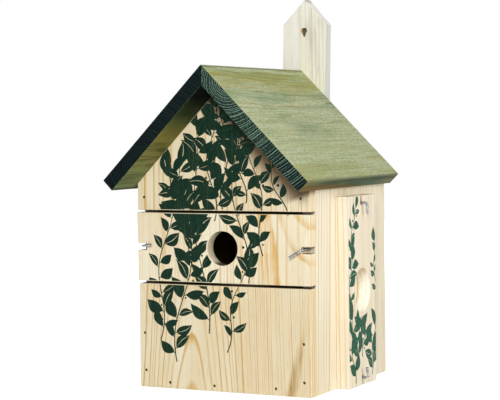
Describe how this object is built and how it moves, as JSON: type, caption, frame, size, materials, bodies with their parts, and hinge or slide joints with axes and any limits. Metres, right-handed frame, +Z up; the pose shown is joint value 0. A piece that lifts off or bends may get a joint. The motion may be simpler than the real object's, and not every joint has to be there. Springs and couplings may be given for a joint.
{
  "type": "bird nest box",
  "caption": "Hanging bird nest box of pine boards with a stained gable roof, a removable entrance board, a stored spare entrance board, bent wire hooks and a pointed hanging batten.",
  "frame": {"origin": "centre of the box's underside, half way between the front boards' face and the rear wall's back", "axes": "+Z up, +X to the right as seen from the front, +Y towards the wall or tree that the box hangs on"},
  "size_m": [0.2155, 0.2274, 0.3745],
  "materials": {
    "pine_front": "planed, untreated, with a printed leaf pattern",
    "pine_side": "planed, untreated",
    "pine_batten": "planed, untreated, greyish",
    "green_stain": "dark green glaze, satin",
    "zinc_wire": "bright zinc plated",
    "nail_steel": "dull, slightly browned"
  },
  "bodies": {
    "box": {"left_side_wall": "pine_side", "right_side_wall": "pine_side", "gable_front_board": "pine_front", "lower_front_board": "pine_front", "rear_wall": "pine_side", "floor_board": "pine_side", "left_roof_board": "green_stain", "right_roof_board": "green_stain", "hanging_batten": "pine_batten", "gable_nail_left": "nail_steel", "gable_nail_right": "nail_steel", "lower_nail_left_upper": "nail_steel", "lower_nail_left_lower": "nail_steel", "lower_nail_right_upper": "nail_steel", "lower_nail_right_lower": "nail_steel", "floor_nail_left": "nail_steel", "floor_nail_middle": "nail_steel", "floor_nail_right": "nail_steel", "rear_nail_left_lower": "nail_steel", "rear_nail_left_middle": "nail_steel", "rear_nail_left_upper": "nail_steel", "rear_nail_right_lower": "nail_steel", "rear_nail_right_middle": "nail_steel", "rear_nail_right_upper": "nail_steel", "rear_floor_nail_left": "nail_steel", "rear_floor_nail_right": "nail_steel", "batten_screw_lower": "nail_steel", "batten_screw_middle": "nail_steel", "batten_screw_upper": "nail_steel"},
    "entrance_board": {"entrance_board": "pine_front"},
    "spare_board": {"spare_entrance_board": "pine_front"},
    "hook_left": {"front_hook_left": "zinc_wire"},
    "hook_right": {"front_hook_right": "zinc_wire"},
    "hook_top": {"side_hook_top": "zinc_wire"},
    "hook_bottom": {"side_hook_bottom": "zinc_wire"}
  },
  "joints": [
    {"name": "entrance_board_slide", "type": "slide", "parent": "box", "child": "entrance_board", "axis": [0, -1, 0], "range_m": [0, 0.003]},
    {"name": "spare_board_slide", "type": "slide", "parent": "box", "child": "spare_board", "axis": [1, 0, 0], "range_m": [0, 0.0039]},
    {"name": "front_hook_left_turn", "type": "hinge", "parent": "box", "child": "hook_left", "pos_m": [-0.0837, -0.09265, 0.1347], "axis": [0, 1, 0], "range_deg": [0, 190]},
    {"name": "front_hook_right_turn", "type": "hinge", "parent": "box", "child": "hook_right", "pos_m": [0.0837, -0.09265, 0.1347], "axis": [0, -1, 0], "range_deg": [-30, 150]},
    {"name": "side_hook_top_turn", "type": "hinge", "parent": "box", "child": "hook_top", "pos_m": [0.10865, 0, 0.1733], "axis": [1, 0, 0], "range_deg": [-10, 170]},
    {"name": "side_hook_bottom_turn", "type": "hinge", "parent": "box", "child": "hook_bottom", "pos_m": [0.10865, 0, 0.0073], "axis": [1, 0, 0], "range_deg": [-20, 160]}
  ]
}
